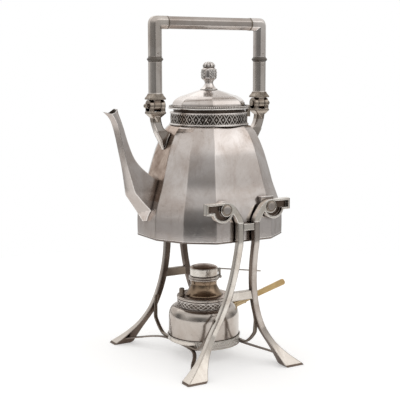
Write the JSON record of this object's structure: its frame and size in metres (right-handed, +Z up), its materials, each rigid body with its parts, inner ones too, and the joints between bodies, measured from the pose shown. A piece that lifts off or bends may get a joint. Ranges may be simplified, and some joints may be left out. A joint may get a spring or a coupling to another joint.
{
  "type": "spirit kettle on stand",
  "caption": "Faceted tilting spirit kettle with swinging bail handle, hinged lid and pierced gallery, on an open four-legged stand with a lift-out spirit lamp.",
  "frame": {"origin": "on the table, below the middle of the whole object's box", "axes": "+Z up; the spout points to -X and the lamp's handle to +X; the two leg frames face -Y and +Y"},
  "size_m": [0.2364, 0.1904, 0.38],
  "materials": {
    "silver_plate": "silver plated and polished, with worn grey-brown patina",
    "tarnished_collar": "dark tarnish behind the pierced gallery",
    "burner_brass": "heat-browned brass",
    "insulator": "heat-insulating discs of grey-white bone or ivorine",
    "cotton_wick": "cotton wick",
    "handle_wood": "turned pale wood or bone, waxed",
    "plain_metal": "plain worn metal"
  },
  "bodies": {
    "stand": {"leg_spout_near": "silver_plate", "leg_spout_far": "silver_plate", "leg_rear_near": "silver_plate", "leg_rear_far": "silver_plate", "pin_bracket_spout_near": "silver_plate", "pin_bracket_spout_far": "silver_plate", "pin_bracket_rear_near": "silver_plate", "pin_bracket_rear_far": "silver_plate", "rest_pins": "silver_plate", "upper_crossbars": "silver_plate", "lower_crossbars": "silver_plate", "lamp_straps": "silver_plate", "foot_stretchers": "silver_plate", "lamp_ring": "silver_plate"},
    "kettle": {"kettle_body": "silver_plate", "kettle_base": "silver_plate", "neck_collar": "tarnished_collar", "gallery_band": "silver_plate", "gallery_rims": "silver_plate", "spout": "silver_plate", "pivot_studs": "silver_plate", "stud_caps": "silver_plate", "rest_lugs": "silver_plate", "bail_bracket_spout": "silver_plate", "bail_bracket_rear": "silver_plate", "bail_hinge_pins": "silver_plate", "gallery_knuckles": "silver_plate", "lid_hinge_pin": "plain_metal"},
    "bail": {"bail_foot_spout": "silver_plate", "bail_foot_rear": "silver_plate", "bail_insulators": "insulator", "bail_rivets": "silver_plate", "bail_elbow_spout": "silver_plate", "bail_elbow_rear": "silver_plate", "bail_joint_rings": "silver_plate", "bail_grip": "silver_plate"},
    "lid": {"lid_dome": "silver_plate", "lid_rim": "silver_plate", "lid_milled_band": "silver_plate", "lid_knuckle": "silver_plate", "finial_base": "silver_plate", "finial_acorn": "silver_plate", "finial_nut": "plain_metal"},
    "lamp": {"lamp_reservoir": "silver_plate", "lamp_foot": "silver_plate", "lamp_lattice_band": "silver_plate", "lamp_cover": "silver_plate", "burner_neck": "burner_brass", "burner_rings": "silver_plate", "wick_tube": "burner_brass", "wick": "cotton_wick", "snuffer_hinge": "plain_metal", "filler_tube": "silver_plate", "handle_ferrule": "silver_plate", "handle_grip": "handle_wood"},
    "snuffer": {"snuffer_cap": "silver_plate", "snuffer_lever": "plain_metal"},
    "lamp_filler_plug": {"filler_plug": "silver_plate"}
  },
  "joints": [
    {"name": "kettle_tilt", "type": "hinge", "parent": "stand", "child": "kettle", "pos_m": [-0.01498, 0, 0.1783], "axis": [0, -1, 0], "range_deg": [0, 55]},
    {"name": "bail_swing", "type": "hinge", "parent": "kettle", "child": "bail", "pos_m": [0.01282, 0, 0.2845], "axis": [1, 0, 0], "range_deg": [-75, 75]},
    {"name": "lid_hinge", "type": "hinge", "parent": "kettle", "child": "lid", "pos_m": [0.06032, 0, 0.281], "axis": [0, 1, 0], "range_deg": [0, 38]},
    {"name": "lamp_lift", "type": "slide", "parent": "stand", "child": "lamp", "axis": [0, 0, 1], "range_m": [0, 0.012]},
    {"name": "snuffer_hinge", "type": "hinge", "parent": "lamp", "child": "snuffer", "pos_m": [0.02436, -0.00457, 0.089], "axis": [0.2419, 0.9703, 0], "range_deg": [0, 42]},
    {"name": "filler_plug_pull", "type": "slide", "parent": "lamp", "child": "lamp_filler_plug", "axis": [0, 0, 1], "range_m": [0, 0.008]}
  ]
}
